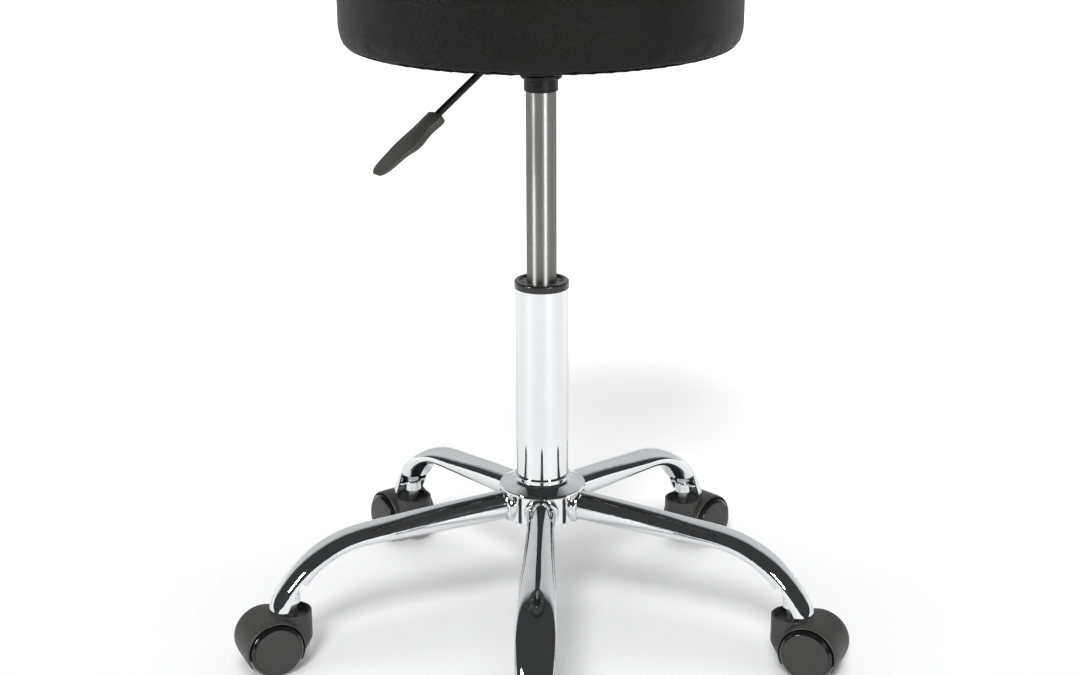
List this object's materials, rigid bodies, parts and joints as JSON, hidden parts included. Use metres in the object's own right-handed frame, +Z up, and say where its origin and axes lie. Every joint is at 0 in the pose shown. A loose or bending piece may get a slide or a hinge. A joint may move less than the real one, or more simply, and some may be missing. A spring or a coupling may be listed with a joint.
{
  "type": "rolling stylist stool",
  "caption": "Backless round salon stool on a gas lift, with a release lever, a chrome star base and twin-wheel hooded casters.",
  "frame": {"origin": "on the floor under the column axis, at the lowest point of the wheels", "axes": "+Z up along the column; leg 1 points along -Y; the release lever points between -X and -Y at rest"},
  "size_m": [0.5855, 0.5569, 0.6676],
  "materials": {
    "chrome": "mirror chrome plate",
    "zinc_steel": "bright zinc-plated steel",
    "ground_steel": "finely ground steel, satin",
    "black_plastic_gloss": "moulded, semi-gloss",
    "grey_plastic": "moulded, matte",
    "black_rubber": "matte",
    "black_paint": "black powder coat",
    "plywood": "bare birch plywood",
    "black_vinyl": "fine-grained vinyl, low sheen",
    "black_cloth": "thin non-woven cloth",
    "paddle_plastic": "fine spark-eroded texture",
    "hood_plastic": "fine spark-eroded texture",
    "tyre_plastic": "moulded nylon, glossy shoulder"
  },
  "bodies": {
    "base": {"star_hub": "chrome", "leg_1": "chrome", "leg_2": "chrome", "leg_3": "chrome", "leg_4": "chrome", "leg_5": "chrome", "stem_sockets": "chrome", "caster_stems": "zinc_steel", "grip_rings": "zinc_steel", "outer_column": "chrome", "column_top_ring": "black_plastic_gloss", "guide_bush": "grey_plastic", "thrust_bearing": "zinc_steel"},
    "spindle": {"piston_rod": "zinc_steel", "piston": "zinc_steel", "retaining_clip": "zinc_steel", "rubber_bumper": "black_rubber"},
    "seat": {"gas_cylinder": "ground_steel", "cylinder_seal": "grey_plastic", "socket_tube": "black_paint", "seat_mechanism": "black_paint", "seat_bolts": "zinc_steel", "tee_nuts": "zinc_steel", "seat_board": "plywood", "seat_cushion": "black_vinyl", "dust_cover": "black_cloth", "lever_pivot_pin": "zinc_steel"},
    "lever": {"lever_rod": "black_paint", "lever_paddle": "paddle_plastic"},
    "release_pin": {"release_pin": "zinc_steel"},
    "caster_1": {"caster_body_1": "hood_plastic", "axle_1": "zinc_steel"},
    "wheel_left_1": {"wheel_left_1": "tyre_plastic", "cap_left_1": "hood_plastic"},
    "wheel_right_1": {"wheel_right_1": "tyre_plastic", "cap_right_1": "hood_plastic"},
    "caster_2": {"caster_body_2": "hood_plastic", "axle_2": "zinc_steel"},
    "wheel_left_2": {"wheel_left_2": "tyre_plastic", "cap_left_2": "hood_plastic"},
    "wheel_right_2": {"wheel_right_2": "tyre_plastic", "cap_right_2": "hood_plastic"},
    "caster_3": {"caster_body_3": "hood_plastic", "axle_3": "zinc_steel"},
    "wheel_left_3": {"wheel_left_3": "tyre_plastic", "cap_left_3": "hood_plastic"},
    "wheel_right_3": {"wheel_right_3": "tyre_plastic", "cap_right_3": "hood_plastic"},
    "caster_4": {"caster_body_4": "hood_plastic", "axle_4": "zinc_steel"},
    "wheel_left_4": {"wheel_left_4": "tyre_plastic", "cap_left_4": "hood_plastic"},
    "wheel_right_4": {"wheel_right_4": "tyre_plastic", "cap_right_4": "hood_plastic"},
    "caster_5": {"caster_body_5": "hood_plastic", "axle_5": "zinc_steel"},
    "wheel_left_5": {"wheel_left_5": "tyre_plastic", "cap_left_5": "hood_plastic"},
    "wheel_right_5": {"wheel_right_5": "tyre_plastic", "cap_right_5": "hood_plastic"}
  },
  "joints": [
    {"name": "seat_swivel", "type": "hinge", "parent": "base", "child": "spindle", "pos_m": [0, 0, 0.128], "axis": [0, 0, 1], "continuous": true},
    {"name": "seat_height", "type": "slide", "parent": "spindle", "child": "seat", "axis": [0, 0, 1], "range_m": [-0.15, 0]},
    {"name": "lever_lift", "type": "hinge", "parent": "seat", "child": "lever", "pos_m": [-0.02104, -0.01848, 0.5708], "axis": [-0.66, 0.7513, 0], "range_deg": [0, 8], "stiffness_Nm_per_rad": 1.2, "springref_deg": -14.32},
    {"name": "pin_press", "type": "slide", "parent": "seat", "child": "release_pin", "axis": [0, 0, -1], "range_m": [0, 0.004]},
    {"name": "caster_swivel_1", "type": "hinge", "parent": "base", "child": "caster_1", "pos_m": [0, -0.2494, 0.05], "axis": [0, 0, 1], "continuous": true},
    {"name": "spin_left_1", "type": "hinge", "parent": "caster_1", "child": "wheel_left_1", "pos_m": [0, -0.2719, 0.0256], "axis": [1, 0, 0], "continuous": true},
    {"name": "spin_right_1", "type": "hinge", "parent": "caster_1", "child": "wheel_right_1", "pos_m": [0, -0.2719, 0.0256], "axis": [1, 0, 0], "continuous": true},
    {"name": "caster_swivel_2", "type": "hinge", "parent": "base", "child": "caster_2", "pos_m": [0.23719, -0.07707, 0.05], "axis": [0, 0, 1], "continuous": true},
    {"name": "spin_left_2", "type": "hinge", "parent": "caster_2", "child": "wheel_left_2", "pos_m": [0.25786, -0.08597, 0.0256], "axis": [0.3955, 0.9184, 0], "continuous": true},
    {"name": "spin_right_2", "type": "hinge", "parent": "caster_2", "child": "wheel_right_2", "pos_m": [0.25786, -0.08597, 0.0256], "axis": [0.3955, 0.9184, 0], "continuous": true},
    {"name": "caster_swivel_3", "type": "hinge", "parent": "base", "child": "caster_3", "pos_m": [0.14659, 0.20177, 0.05], "axis": [0, 0, 1], "continuous": true},
    {"name": "spin_left_3", "type": "hinge", "parent": "caster_3", "child": "wheel_left_3", "pos_m": [0.16202, 0.21814, 0.0256], "axis": [-0.7278, 0.6858, 0], "continuous": true},
    {"name": "spin_right_3", "type": "hinge", "parent": "caster_3", "child": "wheel_right_3", "pos_m": [0.16202, 0.21814, 0.0256], "axis": [-0.7278, 0.6858, 0], "continuous": true},
    {"name": "caster_swivel_4", "type": "hinge", "parent": "base", "child": "caster_4", "pos_m": [-0.14659, 0.20177, 0.05], "axis": [0, 0, 1], "continuous": true},
    {"name": "spin_left_4", "type": "hinge", "parent": "caster_4", "child": "wheel_left_4", "pos_m": [-0.16004, 0.21981, 0.0256], "axis": [-0.8018, -0.5976, 0], "continuous": true},
    {"name": "spin_right_4", "type": "hinge", "parent": "caster_4", "child": "wheel_right_4", "pos_m": [-0.16004, 0.21981, 0.0256], "axis": [-0.8018, -0.5976, 0], "continuous": true},
    {"name": "caster_swivel_5", "type": "hinge", "parent": "base", "child": "caster_5", "pos_m": [-0.23719, -0.07707, 0.05], "axis": [0, 0, 1], "continuous": true},
    {"name": "spin_left_5", "type": "hinge", "parent": "caster_5", "child": "wheel_left_5", "pos_m": [-0.25729, -0.08718, 0.0256], "axis": [0.4493, -0.8934, 0], "continuous": true},
    {"name": "spin_right_5", "type": "hinge", "parent": "caster_5", "child": "wheel_right_5", "pos_m": [-0.25729, -0.08718, 0.0256], "axis": [0.4493, -0.8934, 0], "continuous": true}
  ],
  "couplings": [
    {"joint": "pin_press", "follows": "lever_lift", "m_per_rad": 0.028}
  ]
}
